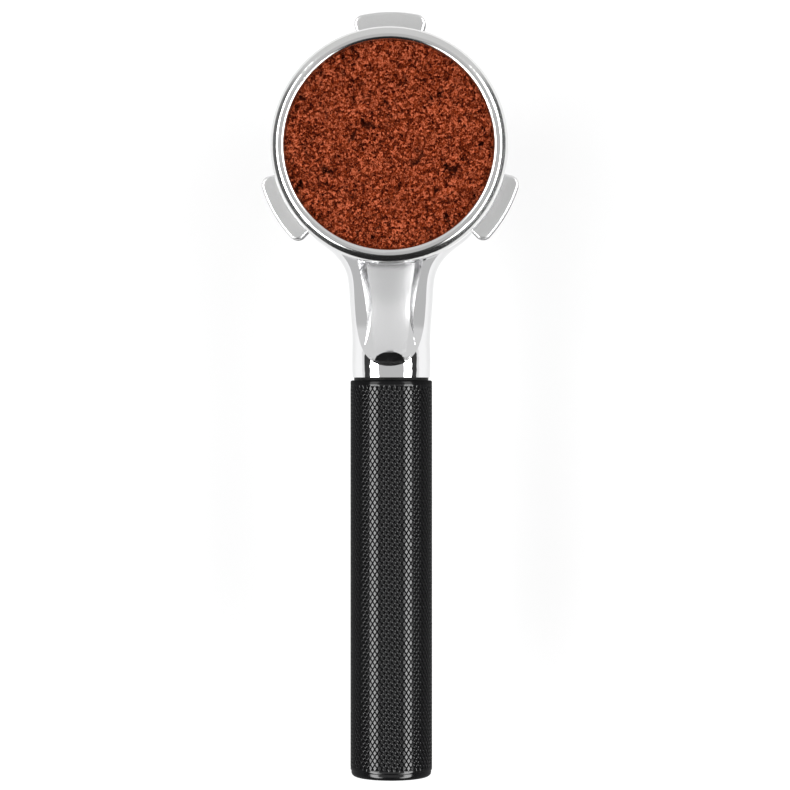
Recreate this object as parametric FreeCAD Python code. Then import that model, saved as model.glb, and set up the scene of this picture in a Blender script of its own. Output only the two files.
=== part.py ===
"""Espresso portafilter: bowl with bayonet lugs, scooped neck, filter basket, twin spout
and a knurled tube handle clamped by a draw bolt. Millimetres, +Z up.

The origin is on the bowl axis, half way up the plain collar above the lugs.
+Y points away from the handle, which runs towards -Y.
"""

import FreeCAD, Part
import math
import os

# ---- driving dimensions -------------------------------------------------------------
seat_z = 2.0              # top face of the bowl, which carries the basket flange
fit_gap = 0.05            # radial clearance of turned parts that fit in one another

bowl_radius = 33.5        # plain collar that centres in the brewing group
collar_height = 13.5
bowl_waist_radius = 31.9  # below the collar
bowl_cavity_radius = 30.7
bowl_cavity_depth = 28.0
bowl_depth = 33.0         # to the underside of the bowl
bowl_curve_start = 21.0   # depth where the wall starts to curve in
bowl_curve_middle = (28.6, 29.2)   # radius and depth half way along that curve
bowl_foot_radius = 20.5
sump_curve_start = 21.5   # the same curve inside
sump_curve_middle = (28.0, 26.4)
sump_radius = 22.5
rim_edge = 0.3            # rounded edge of the rim
collar_relief = 0.8       # step below the plain collar, level with the lugs' tops
boss_radius = 11.6        # threaded outlet boss
boss_length = 4.6
outlet_radius = 8.3       # female thread, shown at its mean radius

lug_radius = 38.2
lug_half_angle = 16.3
lug_angles = (90, 210, 330)
lug_top_depth = 4.0
lug_thickness = 5.6
lug_corner = 2.6
lug_edge = 0.8            # rounding along the lugs' tops and undersides
lug_root = 1.5            # how far the lugs reach into the collar

groove_depth = 6.0        # basket spring groove, below the seat
spring_wire_radius = 0.6
spring_ring_radius = 31.05
spring_opening = 24       # degrees left open between the wire's ends

basket_inner_radius = 29.4
basket_wall = 0.7
basket_foot_radius = 27.6
basket_outer_depth = 22.6
basket_taper_start = 3.0  # depth where the wall starts to taper
basket_foot_roll = 2.4    # rounded corner between the wall and the floor
flange_radius = 33.45
flange_height = 2.5
lip_radius = 1.15         # rounded mouth, inside the flat crown
crown_radius = 30.95      # outer edge of the flat crown
crown_roll = 1.5          # arc from the crown to the sloping part
flange_slope = math.radians(36)
edge_roll = 1.9           # arc from the sloping part to the upright edge
hole_radius = 0.45
hole_pitch = 2.9
hole_rings = 8

coffee_depth = -0.4       # coffee surface at the basket wall, below the seat
coffee_crown = 0.5
coffee_foot_chamfer = 2.6 # keeps the coffee clear of the basket's rounded corner

handle_axis_depth = 13.0  # handle axis below the seat
handle_radius = 11.7
handle_start = 66.3       # distances along -Y from the bowl axis
handle_end = 179.6
tube_inner_radius = 9.3
tube_edge = 0.5
cap_thickness = 1.8

neck_end = 65.5
neck_end_radius = 11.15
# distance along -Y, half width, half height of each elliptical section
neck_stations = (
    (24.0, 23.3, 12.4),
    (28.2, 18.8, 12.0),
    (31.6, 15.1, 11.7),
    (35.4, 12.95, 11.5),
    (41.0, 12.1, 11.4),
    (50.0, 11.5, 11.3),
    (58.0, 11.3, 11.2),
    (neck_end, neck_end_radius + 0.02, neck_end_radius),
)
scallop_depth = 7.0       # flat rails beside the thumb scoop, below the seat
scallop_end = 62.3
scallop_radius = 22.6     # concave rise at the handle end
scoop_depth = 11.0        # floor of the scoop
scoop_floor_radius = 26.0 # cross curve of the floor
scoop_rise_start = 40.0   # where the floor starts to curve up towards the handle
scoop_rise_radius = 33.1
scoop_mouth_depth = 1.85
scoop_end_slope = 42      # degrees, flat wall at the handle end
# distance along -Y, half width at the floor's depth, half width at the mouth
scoop_stations = (
    (22.0, 7.6, 14.0),
    (33.4, 6.4, 12.4),
    (43.0, 5.2, 9.6),
    (52.0, 4.6, 8.9),
    (66.0, 4.5, 9.0),
)

spigot_radius = 6.5       # neck spigot that centres the handle
spigot_end = 78.0
insert_radius = 5.2
bolt_radius = 4.0
bolt_tip = 63.2
insert_start = 62.6

spout_shoulder_radius = 11.3
washer_thickness = 1.5
stem_bore_radius = 4.4
arm_reach = 17.0          # spout tips at each side of the bowl axis
arm_bend_radius = 12.0
arm_radius = 5.4
arm_bore_radius = 2.7
arm_drop = 3.6            # straight length below the bend
arm_level = 0.6           # gap between the shoulder and the arms' tops
stem_reach = 3.0          # stem's top, below the sump's floor
foot_edge = 0.5           # rounded edge of the spout tips

V = FreeCAD.Vector
up = V(0, 0, 1)
back = V(0, -1, 0)        # along the handle, away from the bowl
handle_axis_z = seat_z - handle_axis_depth


# ---- small helpers ------------------------------------------------------------------
def at_depth(depth):
    return seat_z - depth


def turned(*steps):
    """Solid of revolution about the bowl axis. A step is a point (radius, depth below the
    seat), or a pair of them for an arc through the first to the second."""
    place = lambda p: V(p[0], 0, at_depth(p[1]))
    start = place(steps[0])
    here = start
    edges = []
    for step in steps[1:]:
        if isinstance(step[0], tuple):
            through, end = place(step[0]), place(step[1])
            edges.append(Part.Arc(here, through, end).toShape())
        else:
            end = place(step)
            edges.append(Part.makeLine(here, end))
        here = end
    edges.append(Part.makeLine(here, start))
    return Part.Face(Part.Wire(edges)).revolve(V(0, 0, 0), up, 360)


def upright_ring(outer, inner, top_depth, bottom_depth):
    low = V(0, 0, at_depth(bottom_depth))
    height = bottom_depth - top_depth
    ring = Part.makeCylinder(outer, height, low, up)
    return ring.cut(Part.makeCylinder(inner, height, low, up)) if inner else ring


def rod(radius, start, end, x=0.0, z=handle_axis_z):
    """Cylinder along the handle between two distances from the bowl axis."""
    return Part.makeCylinder(radius, end - start, V(x, -start, z), back)


def tube(outer, inner, start, end):
    return rod(outer, start, end).cut(rod(inner, start, end))


def eased(solid, radius, chosen):
    """Rounds the edges for which chosen(edge) is true."""
    edges = [e for e in solid.Edges if not e.Degenerated and chosen(e)]
    return solid.makeFillet(radius, edges)


def circle_at(edge, radius, axis_place):
    """True for a full circular edge of this radius whose centre is at axis_place on Y."""
    curve = edge.Curve
    return (
        isinstance(curve, Part.Circle)
        and abs(curve.Radius - radius) < 0.01
        and abs(curve.Center.y - axis_place) < 0.01
    )


def single(shape):
    """The one solid of a boolean's result."""
    return shape.removeSplitter().Solids[0]


def save(name, shape):
    shape.exportStep("parts/" + name + ".step")
    box = shape.BoundBox
    size = (box.XLength, box.YLength, box.ZLength)
    print(name, len(shape.Solids), shape.isValid(), "%.0f" % shape.Volume, "%.1f %.1f %.1f" % size)


# ---- bowl, lugs and neck ------------------------------------------------------------
def bowl_solid():
    waist_depth = collar_height + bowl_radius - collar_relief - bowl_waist_radius
    boss_end = bowl_depth + boss_length
    half_edge = rim_edge * (1 - math.sqrt(0.5))
    return turned(
        (0, 0),
        (bowl_radius - rim_edge, 0),
        ((bowl_radius - half_edge, half_edge), (bowl_radius, rim_edge)),
        (bowl_radius, lug_top_depth - 0.2),
        (bowl_radius - collar_relief, lug_top_depth + 0.2),
        (bowl_radius - collar_relief, collar_height),
        (bowl_waist_radius, waist_depth),
        (bowl_waist_radius, bowl_curve_start),
        (bowl_curve_middle, (bowl_foot_radius, bowl_depth)),
        (boss_radius + 0.8, bowl_depth),
        (boss_radius, bowl_depth + 0.8),
        (boss_radius, boss_end - 0.5),
        (boss_radius - 0.5, boss_end),
        (0, boss_end),
    )


def bowl_hollow():
    """Basket space, spring groove, sump and outlet."""
    groove = spring_wire_radius + 0.1
    groove_radius = spring_ring_radius + groove
    return turned(
        (0, -1),
        (bowl_cavity_radius, -1),
        (bowl_cavity_radius, groove_depth - groove),
        ((groove_radius, groove_depth), (bowl_cavity_radius, groove_depth + groove)),
        (bowl_cavity_radius, sump_curve_start),
        (sump_curve_middle, (sump_radius, bowl_cavity_depth)),
        (outlet_radius + 1.2, bowl_cavity_depth + 0.6),
        (outlet_radius, bowl_cavity_depth + 1.8),
        (outlet_radius, bowl_depth + boss_length + 1),
        (0, bowl_depth + boss_length + 1),
    )


def lug(angle):
    """One bayonet ear: a sector of a ring with rounded outer corners."""
    bottom_depth = lug_top_depth + lug_thickness
    low = V(0, 0, at_depth(bottom_depth))
    outer = Part.makeCylinder(lug_radius, lug_thickness, low, up, 2 * lug_half_angle)
    outer.rotate(V(0, 0, 0), up, angle - lug_half_angle)
    ear = outer.cut(Part.makeCylinder(bowl_radius - lug_root, lug_thickness, low, up))
    upright = lambda e: (
        abs(e.BoundBox.ZLength - lug_thickness) < 0.01
        and e.BoundBox.XLength < 0.01
        and math.hypot(e.CenterOfMass.x, e.CenterOfMass.y) > bowl_radius
    )
    ear = eased(ear, lug_corner, upright)
    rounded = lambda e: (
        e.BoundBox.ZLength < 0.01
        and math.hypot(e.CenterOfMass.x, e.CenterOfMass.y) > bowl_radius + 0.5
    )
    return eased(ear, lug_edge, rounded)


def neck_solid():
    sections = []
    for distance, half_width, half_height in neck_stations:
        centre = V(0, -distance, handle_axis_z)
        ellipse = Part.Ellipse(centre + V(half_width, 0, 0), centre + V(0, 0, half_height), centre)
        sections.append(Part.Wire(ellipse.toShape()))
    ruled, closed, degree = False, False, 3
    return Part.makeLoft(sections, True, ruled, closed, degree)


def scallop():
    """Cut that leaves the flat rails and the concave rise at the handle end."""
    rise = neck_end_radius + (scallop_depth - handle_axis_depth)
    run = math.sqrt(scallop_radius**2 - (scallop_radius - rise) ** 2)
    past = 1.5
    high = scallop_depth - rise - past
    tangent_start = scallop_end - run
    steep = math.asin(run / scallop_radius)
    place = lambda distance, depth: V(-30, -distance, at_depth(depth))
    half = steep / 2
    through = place(
        tangent_start + scallop_radius * math.sin(half),
        scallop_depth - scallop_radius * (1 - math.cos(half)),
    )
    end = place(scallop_end, scallop_depth - rise)
    beyond = place(scallop_end + past / math.tan(steep), high)
    first = place(10, scallop_depth)
    bend = place(tangent_start, scallop_depth)
    above = place(10, high)
    edges = [
        Part.makeLine(first, bend),
        Part.Arc(bend, through, end).toShape(),
        Part.makeLine(end, beyond),
        Part.makeLine(beyond, above),
        Part.makeLine(above, first),
    ]
    return Part.Face(Part.Wire(edges)).extrude(V(60, 0, 0))


def scoop_outline(depth):
    """The sides at this depth, in line with those at the floor and at the mouth, closed by
    straight ends inside the bowl and past the end wall."""
    z = at_depth(depth)
    share = (scoop_depth - depth) / (scoop_depth - scoop_mouth_depth)
    sides = []
    for side in (-1, 1):
        points = [V(side * (low + (high - low) * share), -d, z) for d, low, high in scoop_stations]
        curve = Part.BSplineCurve()
        curve.interpolate(points if side < 0 else points[::-1])
        sides.append(curve.toShape())
    left, right = sides
    far = Part.makeLine(left.valueAt(left.LastParameter), right.valueAt(right.FirstParameter))
    near = Part.makeLine(right.valueAt(right.LastParameter), left.valueAt(left.FirstParameter))
    return Part.Wire([left, far, right, near])


def scoop_floor_space():
    """Everything above the floor, which is concave across and curves up at the handle end."""
    radius = scoop_floor_radius
    start = V(0, -scoop_rise_start, at_depth(scoop_depth))
    centre = start + V(0, 0, radius)
    side = V(radius, 0, 0)
    curve = Part.Arc(centre - side, start, centre + side).toShape()
    half_disc = Part.Face(Part.Wire([curve, Part.makeLine(centre + side, centre - side)]))
    straight = half_disc.extrude(V(0, scoop_rise_start, 0))
    pivot = start + V(0, 0, scoop_rise_radius)
    bend = half_disc.revolve(pivot, V(-1, 0, 0), 52)
    inside_bend = Part.makeCylinder(scoop_rise_radius - radius + 0.01, 60, pivot - V(30, 0, 0), V(1, 0, 0))
    above = Part.makeBox(60, scoop_rise_start, 30, V(-30, -scoop_rise_start, centre.z))
    return straight.fuse([bend, inside_bend, above])


def scoop_end_space():
    """Everything on the bowl's side of the flat end wall."""
    pivot = V(0, -scallop_end, at_depth(scoop_mouth_depth))
    space = Part.makeBox(60, 80, 40, pivot - V(30, 10, 0))
    space.rotate(pivot, V(1, 0, 0), -scoop_end_slope)
    return space


def scoop():
    """Trough with steep walls, a floor that is concave both ways and a flat end wall."""
    past = 1.0
    ends = [scoop_outline(scoop_depth + past), scoop_outline(scoop_mouth_depth - past)]
    trough = Part.makeLoft(ends, True, True)
    return trough.common(scoop_floor_space()).common(scoop_end_space())


def spigot():
    """Round spigot behind the neck, bored for the threaded insert, with the pin's hole."""
    return rod(spigot_radius, neck_end - 1, spigot_end)


def portafilter_body():
    neck = neck_solid().cut(scallop()).cut(scoop())
    body = bowl_solid().fuse([neck, spigot()] + [lug(a) for a in lug_angles])
    body = body.cut(bowl_hollow())
    body = body.cut(rod(insert_radius + fit_gap, insert_start, spigot_end + 1))
    return single(body.cut(pin_hole()))


# ---- basket and coffee --------------------------------------------------------------
def basket_spring():
    centre = V(0, 0, at_depth(groove_depth))
    length = 360 - spring_opening
    ring = Part.makeTorus(spring_ring_radius, spring_wire_radius, centre, up, 0, 360, length)
    ring.rotate(V(0, 0, 0), up, 90 + spring_opening / 2)
    return ring


def filter_basket():
    """Sheet cup with a perforated floor and a rim rolled outwards over the bowl."""
    outer = basket_inner_radius + basket_wall
    foot = basket_foot_radius
    roll = basket_foot_roll
    eased_corner = roll * (1 - math.sqrt(0.5))
    slant = basket_wall * math.sqrt(0.5)
    inner_depth = basket_outer_depth - basket_wall
    lip_start = (basket_inner_radius, lip_radius - flange_height)
    lip_middle = lip_radius * (1 - math.sqrt(0.5))
    top = -flange_height
    hollow_radius = flange_radius - basket_wall
    hollow_top = top + basket_wall
    slope_start = crown_radius + crown_roll * math.sin(flange_slope)
    slope_end = flange_radius - edge_roll * (1 - math.sin(flange_slope))
    slope_top = top + crown_roll * (1 - math.cos(flange_slope))
    slope_foot = slope_top + (slope_end - slope_start) * math.tan(flange_slope)
    edge_centre = slope_foot + edge_roll * math.cos(flange_slope)
    half = flange_slope / 2
    crown_middle = (
        crown_radius + crown_roll * math.sin(half),
        top + crown_roll * (1 - math.cos(half)),
    )
    turn = (flange_slope + math.pi / 2) / 2
    edge_middle = (
        flange_radius - edge_roll * (1 - math.sin(turn)),
        edge_centre - edge_roll * math.cos(turn),
    )
    shell = turned(
        (0, inner_depth),
        (foot - roll, inner_depth),
        ((foot - eased_corner, inner_depth - eased_corner), (foot, inner_depth - roll)),
        (basket_inner_radius, basket_taper_start),
        lip_start,
        (
            (basket_inner_radius + lip_middle, top + lip_middle),
            (basket_inner_radius + lip_radius, top),
        ),
        (crown_radius, top),
        (crown_middle, (slope_start, slope_top)),
        (slope_end, slope_foot),
        (edge_middle, (flange_radius, edge_centre)),
        (flange_radius, 0),
        (hollow_radius, 0),
        (hollow_radius, -0.4),
        (crown_radius, hollow_top),
        (outer, hollow_top),
        (outer, basket_taper_start),
        (foot + basket_wall, inner_depth - roll),
        (
            (foot - eased_corner + slant, inner_depth - eased_corner + slant),
            (foot - roll, basket_outer_depth),
        ),
        (0, basket_outer_depth),
    )
    low = V(0, 0, at_depth(basket_outer_depth + 1))
    holes = [Part.makeCylinder(hole_radius, 3, low, up)]
    for ring in range(1, hole_rings + 1):
        for step in range(6 * ring):
            angle = math.radians(60 * step / ring)
            offset = V(ring * hole_pitch * math.cos(angle), ring * hole_pitch * math.sin(angle), 0)
            holes.append(Part.makeCylinder(hole_radius, 3, low + offset, up))
    return shell.cut(Part.makeCompound(holes)).Solids[0]


def ground_coffee():
    radius = basket_inner_radius - fit_gap
    chamfer = coffee_foot_chamfer
    bottom = basket_outer_depth - basket_wall - fit_gap / 2
    dome_radius = (radius**2 + coffee_crown**2) / (2 * coffee_crown)
    half = math.asin(radius / dome_radius) / 2
    dome_top = coffee_depth - coffee_crown
    middle = (dome_radius * math.sin(half), dome_top + dome_radius * (1 - math.cos(half)))
    return turned(
        (0, bottom),
        (basket_foot_radius - chamfer, bottom),
        (basket_foot_radius - fit_gap, bottom - chamfer),
        (radius, basket_taper_start),
        (radius, coffee_depth),
        (middle, (0, dome_top)),
    )


# ---- spout --------------------------------------------------------------------------
def spout_top_depth():
    return bowl_depth + boss_length + washer_thickness


def spout_washer():
    top = bowl_depth + boss_length
    inner = outlet_radius + 0.15
    return upright_ring(spout_shoulder_radius - 0.5, inner, top, top + washer_thickness)


def spout_arm(side, radius, extra=0.0):
    """Quarter bend out to one side and a straight drop, of this section radius."""
    level = at_depth(spout_top_depth() + arm_radius + arm_level)
    bend_x = arm_reach - arm_bend_radius
    run = Part.makeCylinder(radius, bend_x, V(0, 0, level), V(side, 0, 0))
    centre = V(side * bend_x, 0, level - arm_bend_radius)
    circle = Part.Circle(V(side * bend_x, 0, level), V(1, 0, 0), radius)
    disc = Part.Face(Part.Wire(circle.toShape()))
    bend = disc.revolve(centre, V(0, side, 0), 90)
    end = V(side * arm_reach, 0, centre.z)
    drop = Part.makeCylinder(radius, arm_drop + extra, end, V(0, 0, -1))
    return run.fuse([bend, drop])


def twin_spout():
    shoulder = spout_top_depth()
    stem_top = bowl_cavity_depth + stem_reach
    level = shoulder + arm_radius + arm_level
    radius = spout_shoulder_radius
    hub = turned(
        (0, stem_top),
        (outlet_radius - fit_gap - 0.6, stem_top),
        (outlet_radius - fit_gap, stem_top + 0.6),
        (outlet_radius - fit_gap, shoulder),
        (radius - 0.4, shoulder),
        (radius, shoulder + 0.4),
        (radius, level - 1.0),
        ((radius * 0.9, level + 2.7), (radius * 0.55, level + arm_radius + 0.8)),
        (0, level + arm_radius + 0.8),
    )
    solid = hub.fuse([spout_arm(side, arm_radius) for side in (-1, 1)])
    bore_low = V(0, 0, at_depth(level))
    bore = Part.makeCylinder(stem_bore_radius, level - stem_top + 1, bore_low, up)
    channels = [spout_arm(side, arm_bore_radius, 1.0) for side in (-1, 1)]
    cone = Part.makeCone(0.5, stem_bore_radius, 3.0, bore_low - V(0, 0, 3.0), up)
    solid = single(solid.cut(bore.fuse(channels + [cone])))
    foot_z = at_depth(level + arm_bend_radius + arm_drop)
    foot = lambda e: isinstance(e.Curve, Part.Circle) and abs(e.Curve.Center.z - foot_z) < 0.01
    return eased(solid, foot_edge, lambda e: foot(e) and abs(e.Curve.Radius - arm_radius) < 0.01)


# ---- handle -------------------------------------------------------------------------
pin_radius = 1.25
pin_offset = 8.0          # below the handle axis
pin_start = 62.5
pin_end = 71.0
bush_length = 14.0
rear_bush_start = 158.0
rear_bush_end = 166.0
washer_step = 1.4
spring_washer_step = 1.6
head_length = 6.0
head_radius = 6.4
head_edge = 0.6
socket_radius = 3.45      # corners of the hexagon socket
socket_depth = 3.6
ring_radius = 10.65       # junction ring, recessed between the neck and the tube
flat_washer_radius = 7.6
spring_washer_radius = 6.6
spring_washer_slit = 1.0
cap_radius = handle_radius - 0.25
cap_edge = 1.2
cap_plug_length = 3.4
cap_groove = (1.0, 2.4)   # from the cap's face
cap_groove_depth = 1.25
seal_wire_radius = 0.55


def pin_hole():
    z = handle_axis_z - pin_offset
    return rod(pin_radius + fit_gap, pin_start, pin_end + fit_gap, 0, z)


def locating_pin():
    return rod(pin_radius, pin_start + fit_gap, pin_end, 0, handle_axis_z - pin_offset)


def junction_ring():
    """Thin recessed ring between the neck and the handle tube."""
    ring = tube(ring_radius, spigot_radius + fit_gap, neck_end, handle_start)
    return single(ring.cut(pin_hole()))


def front_bush():
    bush = tube(tube_inner_radius - fit_gap, spigot_radius + fit_gap, handle_start, spigot_end)
    flange = tube(
        tube_inner_radius - fit_gap,
        bolt_radius + 0.3,
        spigot_end,
        handle_start + bush_length,
    )
    return single(bush.fuse(flange).cut(pin_hole()))


def handle_sleeve():
    end = handle_end - cap_thickness
    sleeve = tube(handle_radius, tube_inner_radius, handle_start, end)
    ends = (-handle_start, -end)
    rim = lambda e: any(circle_at(e, handle_radius, y) for y in ends)
    return eased(sleeve, tube_edge, rim)


def insulating_core():
    start = handle_start + bush_length
    return tube(tube_inner_radius - fit_gap, bolt_radius + 0.4, start, rear_bush_start)


def rear_bush():
    outer = tube_inner_radius - fit_gap
    return tube(outer, bolt_radius + 0.3, rear_bush_start, rear_bush_end)


def threaded_insert():
    return tube(insert_radius, bolt_radius + fit_gap, insert_start + 0.3, spigot_end)


def flat_washer():
    end = rear_bush_end + washer_step
    return tube(flat_washer_radius, bolt_radius + 0.2, rear_bush_end, end)


def spring_washer():
    start = rear_bush_end + washer_step
    outer = spring_washer_radius
    ring = tube(outer, bolt_radius + 0.25, start, start + spring_washer_step)
    low = V(-spring_washer_slit / 2, -start - spring_washer_step, handle_axis_z)
    slit = Part.makeBox(spring_washer_slit, spring_washer_step, outer + 1, low)
    return single(ring.cut(slit))


def draw_bolt():
    head_start = rear_bush_end + washer_step + spring_washer_step
    head_end = head_start + head_length
    bolt = rod(bolt_radius, bolt_tip, head_start).fuse(rod(head_radius, head_start, head_end))
    corners = []
    for step in range(7):
        angle = math.radians(60 * step)
        across = socket_radius * math.cos(angle)
        corners.append(V(across, -head_end, handle_axis_z + socket_radius * math.sin(angle)))
    socket = Part.Face(Part.makePolygon(corners)).extrude(V(0, socket_depth, 0))
    bolt = single(bolt.cut(socket))
    rims = lambda e: circle_at(e, head_radius, -head_end) or circle_at(e, bolt_radius, -bolt_tip)
    return eased(bolt, head_edge, rims)


def end_cap():
    """Rounded disc with a plug, grooved for its sealing ring."""
    face = handle_end - cap_thickness
    disc = rod(cap_radius, face, handle_end)
    rim = lambda e: circle_at(e, cap_radius, -handle_end)
    disc = eased(disc, cap_edge, rim)
    plug = tube(tube_inner_radius - fit_gap, head_radius + 0.8, face - cap_plug_length, face)
    groove_floor = tube_inner_radius - cap_groove_depth
    near, far = cap_groove
    groove = tube(tube_inner_radius, groove_floor, face - far, face - near)
    return single(disc.fuse(plug).cut(groove))


def end_cap_seal():
    middle = handle_end - cap_thickness - sum(cap_groove) / 2
    ring = tube_inner_radius - cap_groove_depth + seal_wire_radius + fit_gap
    return Part.makeTorus(ring, seal_wire_radius, V(0, -middle, handle_axis_z), back)


nodes = (
    portafilter_body,
    basket_spring,
    filter_basket,
    ground_coffee,
    spout_washer,
    twin_spout,
    junction_ring,
    locating_pin,
    threaded_insert,
    front_bush,
    insulating_core,
    rear_bush,
    draw_bolt,
    flat_washer,
    spring_washer,
    handle_sleeve,
    end_cap,
    end_cap_seal,
)

os.makedirs("parts", exist_ok=True)
for make in nodes:
    save(make.__name__, make())
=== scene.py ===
import bpy
import math
import numpy as np
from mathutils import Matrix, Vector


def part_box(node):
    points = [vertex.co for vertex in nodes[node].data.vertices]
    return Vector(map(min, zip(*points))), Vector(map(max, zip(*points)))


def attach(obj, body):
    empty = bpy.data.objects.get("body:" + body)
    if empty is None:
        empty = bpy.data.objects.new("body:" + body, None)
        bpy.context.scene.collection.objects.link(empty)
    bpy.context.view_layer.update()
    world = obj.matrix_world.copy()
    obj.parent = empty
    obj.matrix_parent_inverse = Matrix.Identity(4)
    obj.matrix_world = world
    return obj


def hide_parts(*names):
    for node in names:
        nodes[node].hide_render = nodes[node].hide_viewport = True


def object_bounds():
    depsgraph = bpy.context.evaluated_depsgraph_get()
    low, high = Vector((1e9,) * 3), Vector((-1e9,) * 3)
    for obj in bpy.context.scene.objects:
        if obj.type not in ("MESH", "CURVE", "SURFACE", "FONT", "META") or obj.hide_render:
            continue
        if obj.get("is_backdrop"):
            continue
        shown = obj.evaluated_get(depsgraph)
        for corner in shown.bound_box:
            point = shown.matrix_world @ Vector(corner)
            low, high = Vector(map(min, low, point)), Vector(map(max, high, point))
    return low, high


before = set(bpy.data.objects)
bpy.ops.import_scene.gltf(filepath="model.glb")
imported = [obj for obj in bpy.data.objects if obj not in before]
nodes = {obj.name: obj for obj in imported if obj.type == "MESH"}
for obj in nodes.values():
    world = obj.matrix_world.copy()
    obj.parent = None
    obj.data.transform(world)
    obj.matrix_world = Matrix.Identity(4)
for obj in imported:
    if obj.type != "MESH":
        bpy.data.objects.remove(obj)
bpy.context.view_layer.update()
mm = 0.001


# shader maths: a Wire is an output socket, and sums and products of Wires add Math nodes
class Wire:
    def __init__(self, finish, socket):
        self.finish = finish
        self.socket = socket

    def calc(self, operation, a, b):
        return self.finish.node("ShaderNodeMath", {"operation": operation}, {0: a, 1: b})

    def __add__(self, other):
        return self.calc("ADD", self, other)

    def __sub__(self, other):
        return self.calc("SUBTRACT", self, other)

    def __rsub__(self, other):
        return self.calc("SUBTRACT", other, self)

    def __mul__(self, other):
        return self.calc("MULTIPLY", self, other)

    def __truediv__(self, other):
        return self.calc("DIVIDE", self, other)

    def __pow__(self, other):
        return self.calc("POWER", self, other)

    def __gt__(self, other):
        return self.calc("GREATER_THAN", self, other)

    def __lt__(self, other):
        return self.calc("LESS_THAN", self, other)

    __radd__ = __add__
    __rmul__ = __mul__


# one material and the nodes in it
class Finish:
    def __init__(self, name, owner=None):
        self.material = owner or bpy.data.materials.new(name)
        self.material.use_nodes = True
        self.tree = self.material.node_tree
        self.tree.nodes.clear()

    def add(self, kind, settings=None, values=None):
        made = self.tree.nodes.new(kind)
        for key, value in (settings or {}).items():
            if key == "stops":
                self.setStops(made.color_ramp, value)
            else:
                setattr(made, key, value)
        for key, value in (values or {}).items():
            if isinstance(value, Wire):
                self.tree.links.new(value.socket, made.inputs[key])
            else:
                made.inputs[key].default_value = value
        return made

    def node(self, kind, settings=None, values=None, output=0):
        return Wire(self, self.add(kind, settings, values).outputs[output])

    def setStops(self, ramp, stops):
        while len(ramp.elements) < len(stops):
            ramp.elements.new(1.0)
        for element, (place, colour) in zip(ramp.elements, stops):
            element.position = place
            element.color = colour

    def coords(self, kind="Object"):
        return self.node("ShaderNodeTexCoord", output=kind)

    def stretched(self, scale):
        return self.node("ShaderNodeMapping", None, {"Vector": self.coords(), "Scale": scale})

    def split(self, vector):
        made = self.add("ShaderNodeSeparateXYZ", None, {0: vector})
        return [Wire(self, o) for o in made.outputs]

    def noise(self, scale, detail=3.0, roughness=0.5, vector=None):
        values = {"Scale": scale, "Detail": detail, "Roughness": roughness}
        values["Vector"] = vector or self.coords()
        return self.node("ShaderNodeTexNoise", None, values)

    # a random colour for each cell
    def cells(self, scale):
        values = {"Scale": scale, "Vector": self.coords()}
        return self.node("ShaderNodeTexVoronoi", {"feature": "F1"}, values, "Color")

    def fit(self, value, low, high, newLow=0.0, newHigh=1.0):
        values = {0: value, 1: low, 2: high, 3: newLow, 4: newHigh}
        return self.node("ShaderNodeMapRange", {"interpolation_type": "SMOOTHSTEP"}, values)

    def blend(self, factor, a, b):
        return self.node("ShaderNodeMix", {"data_type": "RGBA"}, {0: factor, 6: a, 7: b}, 2)

    def bump(self, height, strength, distance):
        values = {"Height": height, "Strength": strength, "Distance": distance}
        return self.node("ShaderNodeBump", None, values)

    def surface(self, values):
        shader = self.node("ShaderNodeBsdfPrincipled", {"distribution": "MULTI_GGX"}, values)
        self.add("ShaderNodeOutputMaterial", None, {"Surface": shader})
        return self.material


def grey(value):
    return (value, value, value, 1)


def darker(colour, share):
    return tuple(c * share for c in colour[:3]) + (1,)


chromeLook = {
    "tint": (0.80, 0.80, 0.805, 1),
    "smudgeTint": (0.74, 0.745, 0.755, 1),
    "smudgeShare": 0.25,
    "polish": 0.03,            # roughness of the plated surfaces
    "smudgeRough": 0.02,
    "hairlineRough": 0.01,
    "hairlines": (2600, 160, 2600),    # a metre, along X, Y and Z
    "grain": 2300,             # cast and blasted grains a metre
    "grainHeight": 0.06 * mm,
    "grainShares": (1.0, 0.3, 0.008),  # on the ears, on the scoop's floor and everywhere
    "earRadii": (33.55 * mm, 33.7 * mm),   # the collar ends and the ears start
    "earFront": -28 * mm,      # keeps the neck out
    "earFoot": -7.9 * mm,
    "earSatin": 0.27,          # added on the ears' tops
    "earTone": (0.62, 0.62, 0.615, 1),
    "earSideSatin": 0.4,
    # near black tone on the ears' steep sides: painted shade standing in for the dark they reflect
    "earSidePaintedShade": (0.09, 0.09, 0.09, 1),
    "scoopSatin": 0.2,         # added on the thumb scoop's floor
    "scoopTop": -1 * mm,
    "scoopFront": -33 * mm,
    "scoopHalfWidth": 6.6 * mm,    # of the satin floor, at scoopStart
    "scoopTaper": 0.085,
    "scoopStart": -35 * mm,
    "scoopEnd": -58.6 * mm,
}


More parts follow.
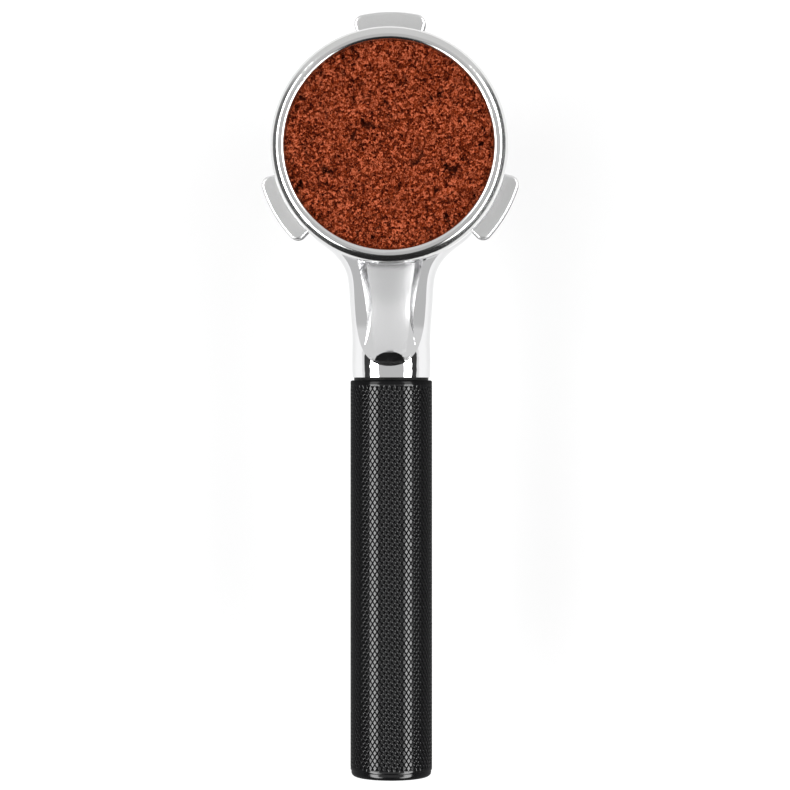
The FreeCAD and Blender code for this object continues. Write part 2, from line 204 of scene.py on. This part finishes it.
def chromePlate():
    f = Finish("chromePlate")
    look = chromeLook
    x, y, z = f.split(f.coords())
    facing = f.split(f.node("ShaderNodeNewGeometry", output="Normal"))[2]
    smudge = f.noise(90, 5, 0.62)
    hairline = f.noise(1, 2, 0.5, f.stretched(look["hairlines"]))
    gloss = look["polish"] + f.fit(smudge, 0.35, 0.75) * look["smudgeRough"]
    gloss = gloss + hairline * look["hairlineRough"]
    # the ears are cast, and only their tops are lightly polished
    radius = (x * x + y * y) ** 0.5
    ear = f.fit(radius, *look["earRadii"]) * (y > look["earFront"]) * (z > look["earFoot"])
    earTop = ear * f.fit(facing, 0.5, 0.8)
    earSide = ear * f.fit(facing, 0.5, 0.25) * f.fit(facing, -0.8, -0.5)
    # the thumb scoop's floor is bead blasted
    half = look["scoopHalfWidth"] + (y - look["scoopStart"]) * look["scoopTaper"]
    across = x * x / (half * half)
    floor = f.fit(across, 1.12, 0.95) * (z < look["scoopTop"]) * f.fit(facing, 0.6, 0.8)
    end = look["scoopEnd"]
    floor = floor * (y < look["scoopFront"]) * f.fit(y, end, end + 0.3 * mm)
    rough = gloss + earTop * look["earSatin"] + earSide * look["earSideSatin"]
    rough = rough + floor * look["scoopSatin"]
    grain = f.noise(look["grain"], 4, 0.7)
    onEar, onFloor, elsewhere = look["grainShares"]
    normal = f.bump(grain * (ear * onEar + floor * onFloor + elsewhere), 0.5, look["grainHeight"])
    tone = f.blend(smudge * look["smudgeShare"], look["tint"], look["smudgeTint"])
    tone = f.blend(earTop * (0.55 + grain * 0.45), tone, look["earTone"])
    # painted shade: the ears' steep sides are toned near black, on top of their satin roughness
    tone = f.blend(earSide, tone, look["earSidePaintedShade"])
    return f.surface({"Base Color": tone, "Metallic": 1.0, "Roughness": rough, "Normal": normal})


stainlessLook = {
    "tint": (0.76, 0.76, 0.755, 1),
    "cloudTint": (0.68, 0.68, 0.675, 1),
    "cloudShare": 0.4,
    "turningLines": 9000,      # a metre, round the axis
    "roughness": 0.09,
    "lineRough": 0.07,
    "cloudRough": 0.05,
    "lineHeight": 0.01 * mm,
}


def stainlessSheet():
    f = Finish("stainlessSheet")
    look = stainlessLook
    x, y, z = f.split(f.coords())
    radius = (x * x + y * y) ** 0.5
    lines = look["turningLines"]
    place = {0: radius * lines, 1: 0.0, 2: z * lines}
    turned = f.noise(1, 2, 0.6, f.node("ShaderNodeCombineXYZ", None, place))
    cloud = f.noise(120, 4, 0.6)
    rough = look["roughness"] + turned * look["lineRough"] + cloud * look["cloudRough"]
    tone = f.blend(cloud * look["cloudShare"], look["tint"], look["cloudTint"])
    normal = f.bump(turned, 0.12, look["lineHeight"])
    return f.surface({"Base Color": tone, "Metallic": 1.0, "Roughness": rough, "Normal": normal})


anodisedLook = {
    "black": (0.0015, 0.0015, 0.0017, 1),
    "cloudy": (0.0035, 0.0035, 0.004, 1),
    "cloudShare": 0.6,
    "clouds": 260,             # a metre
    "specks": 5200,
    "speckHeight": 0.02 * mm,
    "roughness": 0.5,
    "coatRoughness": 0.14,
    "coatIor": 1.5,
    "filmFade": (0.12, 0.24),  # the film's shine drops where the surface turns away
    "sideFilm": 0.1,
    "grooveShine": 0.03,
    "bandShine": 0.2,          # the plain band at the front is duller
    "bandLength": 1.35 * mm,
    "bandFade": 0.2 * mm,
    "crestBand": (0.07 * mm, 0.02 * mm),   # the glossy film covers only the diamonds' crests
}


def blackAnodised():
    f = Finish("blackAnodised")
    look = anodisedLook
    low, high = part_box("handle_sleeve")
    outer = (high.x - low.x) / 2
    x, y, z = f.split(f.coords())
    z = z - (high.z + low.z) / 2
    radius = (x * x + z * z) ** 0.5
    deep, shallow = look["crestBand"]
    crest = f.fit(radius, outer - deep, outer - shallow)
    onCap = y < low.y
    film = crest + onCap - crest * onCap
    bandEnd = high.y - look["bandLength"]
    onBand = f.fit(y, bandEnd, bandEnd + look["bandFade"])
    film = film * (1 - onBand * (1 - look["bandShine"]))
    turnedAway = f.node("ShaderNodeLayerWeight", None, {"Blend": 0.5}, output="Facing")
    film = film * (1 - f.fit(turnedAway, *look["filmFade"]) * (1 - look["sideFilm"]))
    cloud = f.noise(look["clouds"], 5, 0.6)
    speck = f.noise(look["specks"], 2, 0.5)
    values = {"Base Color": f.blend(cloud * look["cloudShare"], look["black"], look["cloudy"])}
    values["Roughness"] = look["roughness"] + cloud * 0.1 + speck * 0.1
    values["Specular IOR Level"] = look["grooveShine"]
    values["Coat Weight"] = film * (0.85 + cloud * 0.15)
    values["Coat Roughness"] = look["coatRoughness"]
    values["Coat IOR"] = look["coatIor"]
    values["Normal"] = f.bump(speck, 0.1, look["speckHeight"])
    return f.surface(values)


groundsLook = {
    "stops": (
        (0.22, (0.012, 0.0007, 0.0001, 1)),
        (0.40, (0.068, 0.0080, 0.0013, 1)),
        (0.60, (0.145, 0.0225, 0.0065, 1)),
        (0.82, (0.330, 0.0800, 0.0360, 1)),
    ),
    # near black colour painted into the bed's low parts as shade in its recesses
    "pitShadeColour": (0.006, 0.0003, 0.0001, 1),
    "warm": (0.17, 0.032, 0.010, 1),
    "pitShadeShare": 0.85,
    "patches": 210,            # warmer patches a metre
    "patchShare": 0.18,
    "grains": 1500,
    "fines": 3600,
    "grit": 4600,
    "gritHeight": 0.1 * mm,
    "roughness": 0.62,
    "shine": 0.02,
}


def coffeeGrounds():
    f = Finish("coffeeGrounds")
    look = groundsLook
    grain = f.cells(look["grains"])
    fine = f.cells(look["fines"])
    shade = f.split(grain)[0] * 0.55 + f.split(fine)[1] * 0.45
    tone = f.node("ShaderNodeValToRGB", {"stops": look["stops"]}, {0: shade})
    height = f.node("ShaderNodeAttribute", {"attribute_name": "height"}, output="Fac")
    # painted shade: the lower the bed, the more its colour turns near black
    tone = f.blend(f.fit(height, 0.5, 0.12) * look["pitShadeShare"], tone, look["pitShadeColour"])
    patch = f.noise(look["patches"], 4, 0.6)
    tone = f.blend(f.fit(patch, 0.5, 0.75) * look["patchShare"], tone, look["warm"])
    values = {"Base Color": tone, "Specular IOR Level": look["shine"]}
    values["Normal"] = f.bump(f.noise(look["grit"], 3, 0.7), 0.6, look["gritHeight"])
    values["Roughness"] = look["roughness"] + f.noise(3000, 2, 0.5) * 0.25
    return f.surface(values)


# clouds and grains a metre, and the grains' height
plainLook = {"metal": (900, 4500, 0.02 * mm), "plastic": (700, 4200, 0.03 * mm)}


def plainMetal(name, colour, roughness):
    f = Finish(name)
    clouds, grains, grainHeight = plainLook["metal"]
    cloud = f.noise(clouds, 4, 0.6)
    tone = f.blend(cloud * 0.35, colour, darker(colour, 0.8))
    rough = roughness + cloud * 0.12
    normal = f.bump(f.noise(grains, 2, 0.5), 0.1, grainHeight)
    return f.surface({"Base Color": tone, "Metallic": 1.0, "Roughness": rough, "Normal": normal})


def softPlastic(name, colour, roughness, shine=0.5):
    f = Finish(name)
    clouds, grains, grainHeight = plainLook["plastic"]
    cloud = f.noise(clouds, 4, 0.6)
    values = {"Base Color": f.blend(cloud * 0.5, colour, darker(colour, 0.75))}
    values["Normal"] = f.bump(f.noise(grains, 3, 0.6), 0.15, grainHeight)
    values["Roughness"] = roughness + cloud * 0.1
    values["Specular IOR Level"] = shine
    return f.surface(values)


print("finishes")
chrome = chromePlate()
stainless = stainlessSheet()
anodised = blackAnodised()
grounds = coffeeGrounds()
wireSteel = plainMetal("wireSteel", (0.55, 0.55, 0.56, 1), 0.25)
zincSteel = plainMetal("zincSteel", (0.6, 0.6, 0.63, 1), 0.3)
plainBrass = plainMetal("plainBrass", (0.72, 0.5, 0.2, 1), 0.28)
bareAluminium = plainMetal("bareAluminium", (0.72, 0.72, 0.73, 1), 0.3)
sealRubber = softPlastic("sealRubber", (0.75, 0.74, 0.7, 1), 0.6)
ringPlastic = softPlastic("ringPlastic", (0.004, 0.004, 0.004, 1), 0.5, 0.12)
coreNylon = softPlastic("coreNylon", (0.05, 0.05, 0.05, 1), 0.5)

nodeFinish = {
    "portafilter_body": chrome,
    "twin_spout": chrome,
    "filter_basket": stainless,
    "basket_spring": wireSteel,
    "spout_washer": sealRubber,
    "end_cap_seal": sealRubber,
    "junction_ring": ringPlastic,
    "locating_pin": zincSteel,
    "threaded_insert": plainBrass,
    "front_bush": bareAluminium,
    "rear_bush": bareAluminium,
    "insulating_core": coreNylon,
    "draw_bolt": zincSteel,
    "flat_washer": zincSteel,
    "spring_washer": wireSteel,
    "end_cap": anodised,
    "handle_sleeve": anodised,
    "ground_coffee": grounds,
}
shadingLook = {"weld": 0.002 * mm, "sharpAngle": 30}


def dressCadNodes():
    for name, finish in nodeFinish.items():
        mesh = nodes[name].data
        mesh.materials.clear()
        mesh.materials.append(finish)
        mesh.shade_smooth()
        weld = nodes[name].modifiers.new("weld", "WELD")
        weld.merge_threshold = shadingLook["weld"]
        split = nodes[name].modifiers.new("split", "EDGE_SPLIT")
        split.split_angle = math.radians(shadingLook["sharpAngle"])
        nodes[name].modifiers.new("normals", "WEIGHTED_NORMAL")


dressCadNodes()


def newPiece(name, points, faces, finish, body, slot, *replaced, smooth=None):
    mesh = bpy.data.meshes.new(name)
    mesh.from_pydata(points, [], faces)
    mesh.materials.append(finish)
    if smooth is not None:
        mesh.polygons.foreach_set("use_smooth", smooth)
    mesh.validate()
    piece = bpy.data.objects.new(name, mesh)
    bpy.context.scene.collection.objects.link(piece)
    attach(piece, body)
    if replaced:
        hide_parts(*replaced)
    return piece


sleeveLook = {
    "diamondsAround": 52,
    "diamondLength": 2.147 * mm,
    "plainBand": 1.35 * mm,    # smooth band at the front
    "rearBand": 0.6 * mm,
    "landings": (0.22 * mm, 0.2 * mm),     # short plain steps at the knurl's front and rear ends
    "edge": 0.45 * mm,         # rounded front edge
    "rearEdge": 0.15 * mm,
    "crest": 0.64,             # flat top of a diamond, share of its size
    "grooveDepth": 0.07 * mm,
    "pitDepth": 0.3 * mm,      # where two grooves cross
    "wall": 2.4 * mm,          # of the tube
}


def knurledSleeve():
    low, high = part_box("handle_sleeve")
    radius = (high.x - low.x) / 2
    axisZ = (high.z + low.z) / 2
    look = sleeveLook
    inner = radius - look["wall"]
    count = look["diamondsAround"]
    step = look["diamondLength"] / 2
    start = high.y - look["plainBand"]
    rows = int((start - low.y - look["rearBand"]) / step)
    rows -= rows % 2
    points, faces, smooth = [], [], []

    def put(column, y, r):
        angle = math.pi * column / count
        points.append((r * math.sin(angle), y, axisZ + r * math.cos(angle)))
        return len(points) - 1

    # corners come clockwise as seen from outside, so the sleeve's faces point inwards
    def face(corners, isSmooth=False):
        faces.append(corners)
        smooth.append(isSmooth)

    corner = {}

    def cornerPoint(column, row, depth=0.0):
        key = (column % (2 * count), row)
        if key not in corner:
            corner[key] = put(key[0], start - row * step, radius - depth)
        return corner[key]

    # raised diamonds with flat tops, shallow grooves between them and a pit at every crossing
    around = ((-1, 0), (-0.5, -0.5), (0, -1), (0.5, -0.5), (1, 0), (0.5, 0.5), (0, 1), (-0.5, 0.5))
    crest = look["crest"]
    for row in range(1, rows):
        for column in range(2 * count):
            if (row + column) % 2 == 0:
                continue
            outline, top = [], []
            for k, (c, r) in enumerate(around):
                atEnd = row + r in (0, rows)
                depth = 0.0 if atEnd else look["grooveDepth"] if k % 2 else look["pitDepth"]
                outline.append(cornerPoint(column + c, row + r, depth))
                top.append(put(column + c * crest, start - (row + r * crest) * step, radius))
            for k in range(8):
                n = (k + 1) % 8
                face((outline[k], outline[n], top[n], top[k]))
            face(tuple(top))
    # faces that close the zigzag at both ends of the knurl
    for row, side in ((0, 1), (rows, -1)):
        for column in range(0, 2 * count, 2):
            a = cornerPoint(column, row)
            b = cornerPoint(column + 2, row)
            steps = ((1.5, 0.5), (1, 1), (0.5, 0.5))
            tips = [cornerPoint(column + c, row + side * r) for c, r in steps]
            outline = (a, b, *tips)
            face(outline if side > 0 else outline[::-1])
    frontRing = [cornerPoint(c, 0) for c in range(0, 2 * count, 2)]
    backRing = [cornerPoint(c, rows) for c in range(0, 2 * count, 2)]
    backStart = start - rows * step

    def ringAt(y, r):
        return [put(c, y, r) for c in range(0, 2 * count, 2)]

    edge, rearEdge = look["edge"], look["rearEdge"]
    frontLanding, rearLanding = look["landings"]
    frontRings = [
        frontRing,
        ringAt(start + frontLanding, radius),
        ringAt(high.y - edge, radius),
        ringAt(high.y - edge * 0.3, radius - edge * 0.3),
        ringAt(high.y, radius - edge),
        ringAt(high.y, inner),
    ]
    backRings = [
        backRing,
        ringAt(backStart - rearLanding, radius),
        ringAt(low.y + rearEdge, radius),
        ringAt(low.y, radius - rearEdge),
        ringAt(low.y, inner),
    ]
    for rings, flip in ((frontRings, False), (backRings, True)):
        for a, b in zip(rings, rings[1:]):
            for k in range(count):
                n = (k + 1) % count
                quad = (a[k], b[k], b[n], a[n])
                face(quad[::-1] if flip else quad, True)
    a, b = frontRings[-1], backRings[-1]
    for k in range(count):
        n = (k + 1) % count
        face((a[k], b[k], b[n], a[n]), True)
    return newPiece(
        "knurledSleeve", points, faces, anodised, "holder", "black_anodised", "handle_sleeve",
        smooth=smooth,
    )


print("knurled sleeve")
knurledSleeve()


coffeeLook = {
    "grid": 0.21 * mm,
    # size and height of the clumps, grains and fines
    "grainSizes": ((2.2 * mm, 0.62 * mm), (1.15 * mm, 0.5 * mm), (0.62 * mm, 0.3 * mm)),
    "mound": 0.4 * mm,
    "pits": 170,
    "pitDepth": 1.0 * mm,
    "level": 2.1 * mm,         # mean surface at the edge, below the rim's crown
    "crown": 0.9 * mm,
    "grains": 4600,
    "grainLength": (0.16 * mm, 0.5 * mm),
    "gap": 0.02 * mm,          # to the basket's wall
    "foot": 25.0 * mm,         # radius of the underside
    "footGap": 0.05 * mm,
    "wallMargin": 0.7 * mm,    # loose grains keep off the wall
    # wavy shift of the clumps: reach, then waves a metre along and across, then the start
    "warpX": ((0.5 * mm, 0, 900, 1.3), (0.3 * mm, 2300, 1700, 0.0)),
    "warpY": ((0.5 * mm, 1100, 0, 0.4), (0.3 * mm, -1500, 2600, 0.0)),
    "swells": 7,
    "seed": 17,
}


# distance to the nearest scattered point, and that point's own random height
def cellNoise(x, y, size, rng):
    cells = 128
    jitter = rng.random((cells, cells, 3))
    u, v = x / size + cells / 2, y / size + cells / 2
    iu, iv = np.floor(u).astype(int), np.floor(v).astype(int)
    best = np.full(x.shape, 9.0)
    tall = np.zeros(x.shape)
    for du in (-1, 0, 1):
        for dv in (-1, 0, 1):
            spot = jitter[(iu + du) % cells, (iv + dv) % cells]
            d = np.hypot(u - iu - du - spot[..., 0], v - iv - dv - spot[..., 1])
            nearer = d < best
            best = np.where(nearer, d, best)
            tall = np.where(nearer, spot[..., 2], tall)
    return best, tall


def coffeeHeight(x, y, radius):
    look = coffeeLook
    rng = np.random.default_rng(look["seed"])
    height = np.zeros(x.shape)
    # a wavy shift keeps the clumps from looking like round cells
    warpX = x + sum(r * np.sin(x * a + y * b + c) for r, a, b, c in look["warpX"])
    warpY = y + sum(r * np.sin(x * a + y * b + c) for r, a, b, c in look["warpY"])
    for size, tallness in look["grainSizes"]:
        near, tall = cellNoise(warpX, warpY, size, rng)
        dome = np.sqrt(np.clip(1 - (near / 0.85) ** 2, 0, 1))
        height += tallness * dome * (0.3 + 0.7 * tall)
    for k in range(look["swells"]):
        angle, phase = rng.random(2) * 2 * math.pi
        wave = 2 * math.pi / ((6 + 3 * k) * mm)
        along = x * math.cos(angle) + y * math.sin(angle)
        height += look["mound"] / 3 * np.sin(along * wave + phase)
    for k in range(look["pits"]):
        angle, far, wide, stretch = rng.random(4)
        pitX = radius * math.sqrt(far) * math.cos(2 * math.pi * angle)
        pitY = radius * math.sqrt(far) * math.sin(2 * math.pi * angle)
        width = (0.4 + 0.7 * wide**2) * mm
        reach = ((warpX - pitX) / width) ** 2 + ((warpY - pitY) / (width * (0.6 + stretch))) ** 2
        height -= look["pitDepth"] * np.exp(-reach)
    return height


def coffeeBed():
    low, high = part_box("ground_coffee")
    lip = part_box("filter_basket")[1].z
    look = coffeeLook
    radius = (high.x - low.x) / 2 - look["gap"]
    level = lip - look["level"]
    n = int(radius / look["grid"])
    # square grid pressed into a disc, so the outline is a clean circle
    side = np.linspace(-1, 1, 2 * n + 1)
    u, v = np.meshgrid(side, side, indexing="ij")
    x = radius * u * np.sqrt(1 - v * v / 2)
    y = radius * v * np.sqrt(1 - u * u / 2)
    h = coffeeHeight(x, y, radius)
    lowest, highest = np.percentile(h, 0.5), np.percentile(h, 99.5)
    spread = np.clip((h - lowest) / (highest - lowest), 0, 1)
    reach = np.hypot(x, y) / radius
    z = level + h - h.mean() + look["crown"] * (1 - reach**2)
    z = np.minimum(z, lip - 0.1 * mm)
    size = 2 * n + 1
    points = np.stack([x, y, z], -1).reshape(-1, 3).tolist()
    index = np.arange(size * size).reshape(size, size)
    quads = np.stack([index[:-1, :-1], index[1:, :-1], index[1:, 1:], index[:-1, 1:]], -1)
    faces = quads.reshape(-1, 4).tolist()
    rim = list(index[:, 0]) + list(index[-1, 1:]) + list(index[-2::-1, -1]) + list(index[0, -2:0:-1])
    rim = [int(i) for i in rim]
    # side and bottom close the bed inside the basket
    scale = look["foot"] / radius
    lower = []
    for i in rim:
        px, py = points[i][0], points[i][1]
        points.append([px * scale, py * scale, low.z + look["footGap"]])
        lower.append(len(points) - 1)
    for k in range(len(rim)):
        m = (k + 1) % len(rim)
        faces.append((rim[k], lower[k], lower[m], rim[m]))
    faces.append(tuple(lower[::-1]))
    piece = newPiece(
        "coffeeBed", points, faces, grounds, "basket", "ground_coffee", "ground_coffee",
        smooth=[True] * len(faces),
    )
    attribute = piece.data.attributes.new("height", "FLOAT", "POINT")
    # the bed's hidden side and bottom get a set level of the painted shade
    values = np.full(len(points), 0.3, np.float32)
    values[: size * size] = spread.reshape(-1)
    attribute.data.foreach_set("value", values)
    return x, y, z, radius, lip


# corners and faces of an icosahedron of unit radius
def grainShape():
    golden = (1 + 5**0.5) / 2
    corners = []
    for a in (-1, 1):
        for b in (-golden, golden):
            corners += [(0, a, b), (a, b, 0), (b, 0, a)]
    corners = np.array(corners, float)
    corners /= np.linalg.norm(corners[0])
    edge = 1.2                 # longer than a side, shorter than any other span
    faces = []
    for i in range(12):
        for j in range(i + 1, 12):
            for k in range(j + 1, 12):
                sides = [np.linalg.norm(corners[p] - corners[q]) for p, q in ((i, j), (j, k), (i, k))]
                if max(sides) < edge:
                    normal = np.cross(corners[j] - corners[i], corners[k] - corners[i])
                    faces.append((i, j, k) if normal @ corners[i] > 0 else (i, k, j))
    return corners, np.array(faces)


def looseGrains(x, y, z, radius, lip):
    look = coffeeLook
    rng = np.random.default_rng(look["seed"] + 1)
    corners, faces = grainShape()
    flatX, flatY, flatZ = x.reshape(-1), y.reshape(-1), z.reshape(-1)
    picks = rng.integers(0, len(flatX), look["grains"])
    smallest, largest = look["grainLength"]
    allPoints, allFaces, heights = [], [], []
    for pick in picks:
        if np.hypot(flatX[pick], flatY[pick]) > radius - look["wallMargin"]:
            continue
        size = smallest + (largest - smallest) * rng.random() ** 2.2
        shape = corners * (1 + 0.35 * (rng.random((12, 1)) - 0.5)) * size
        shape = shape * (1 + 0.5 * (rng.random(3) - 0.5))
        turn = rng.random() * 2 * math.pi
        c, s = math.cos(turn), math.sin(turn)
        px = shape[:, 0] * c - shape[:, 1] * s + flatX[pick]
        py = shape[:, 0] * s + shape[:, 1] * c + flatY[pick]
        pz = np.minimum(shape[:, 2] + flatZ[pick] + 0.2 * size, lip - 0.05 * mm)
        allFaces.append(faces + 12 * len(allPoints))
        allPoints.append(np.stack([px, py, pz], -1))
        # each loose grain's level of the painted shade, picked at random
        heights.append(0.4 + 0.4 * rng.random())
    points = np.concatenate(allPoints).tolist()
    piece = newPiece(
        "looseGrains", points, np.concatenate(allFaces).tolist(), grounds, "basket", "ground_coffee"
    )
    attribute = piece.data.attributes.new("height", "FLOAT", "POINT")
    attribute.data.foreach_set("value", np.repeat(heights, 12).astype(np.float32))


print("ground coffee")
looseGrains(*coffeeBed())


studioLook = {
    "overhead": 0.58,
    "farSide": 0.76,           # +Y, beyond the bowl
    "handleSide": 0.015,       # -Y, dark
    "panel": 9.8,              # long lit panels on both sides
    "panelEdges": (0.45, 0.73),   # cosines of the panels' angles from straight up
    "leftPanelLift": 0.05,     # the panel at -X hangs higher
    "underPanel": 0.05,        # dark strip below the panels
    "horizon": 0.9,
    "floor": 0.22,
    "floorGlow": 0.64,
    "floorReach": 4.0,         # metres each way
    "floorGap": 0.05 * mm,     # below the spout's tips
    "aim": (1.8 * mm, -70.5 * mm),   # where the view meets the rim's level
    "cameraDistance": 0.730,
    "cameraTilt": 2.7,         # degrees, so the view comes a little from +X
    "lens": 118.5,
}


def studioWorld():
    look = studioLook
    world = bpy.data.worlds.new("studio")
    bpy.context.scene.world = world
    f = Finish("studio", world)
    x, y, z = f.split(f.coords("Generated"))
    forward = y / ((x * x + y * y) ** 0.5 + 0.001)
    low, high = look["panelEdges"]
    flank = f.blend(f.fit(z, 0.12, 0.17), grey(look["horizon"]), grey(look["underPanel"]))
    level = z - (x < 0.0) * look["leftPanelLift"]
    flank = f.blend(f.fit(level, low - 0.02, low + 0.01), flank, grey(look["panel"]))
    flank = f.blend(f.fit(level, high, high + 0.05), flank, grey(look["overhead"]))
    far = f.blend(f.fit(z, 0.92, 0.98), grey(look["farSide"]), grey(look["overhead"]))
    near = f.blend(f.fit(z, 0.9, 0.965), grey(look["handleSide"]), grey(look["overhead"]))
    around = f.blend(f.fit(forward, 0.5, 0.75), flank, far)
    around = f.blend(f.fit(forward, -0.7, -0.9), around, near)
    glow = f.node("ShaderNodeBackground", None, {"Color": around, "Strength": 1.0})
    f.add("ShaderNodeOutputWorld", None, {"Surface": glow})


def paleFloor():
    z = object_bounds()[0][2] - studioLook["floorGap"]
    reach = studioLook["floorReach"]
    mesh = bpy.data.meshes.new("paleFloor")
    corners = [(-reach, -reach, z), (reach, -reach, z), (reach, reach, z), (-reach, reach, z)]
    mesh.from_pydata(corners, [], [(0, 1, 2, 3)])
    f = Finish("paleFloor")
    cloud = f.noise(3, 2, 0.5)
    shade = studioLook["floor"]
    tone = f.blend(cloud * 0.3, grey(shade), grey(shade * 0.98))
    values = {"Base Color": tone, "Roughness": 0.6, "Specular IOR Level": 0.0}
    values["Emission Color"] = grey(1.0)
    values["Emission Strength"] = studioLook["floorGlow"]
    mesh.materials.append(f.surface(values))
    floor = bpy.data.objects.new("paleFloor", mesh)
    bpy.context.scene.collection.objects.link(floor)
    floor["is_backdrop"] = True


def studioCamera():
    look = studioLook
    data = bpy.data.cameras.new("camera")
    data.lens = look["lens"]
    data.sensor_width = 36
    data.clip_end = 20
    camera = bpy.data.objects.new("camera", data)
    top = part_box("filter_basket")[1].z
    tilt = math.radians(look["cameraTilt"])
    reach = look["cameraDistance"]
    aimX, aimY = look["aim"]
    camera.location = (aimX + reach * math.sin(tilt), aimY, top + reach * math.cos(tilt))
    camera.rotation_euler = (0, tilt, 0)
    bpy.context.scene.collection.objects.link(camera)
    bpy.context.scene.camera = camera


print("studio")
studioWorld()
paleFloor()
studioCamera()
bpy.context.scene.view_settings.view_transform = "Standard"
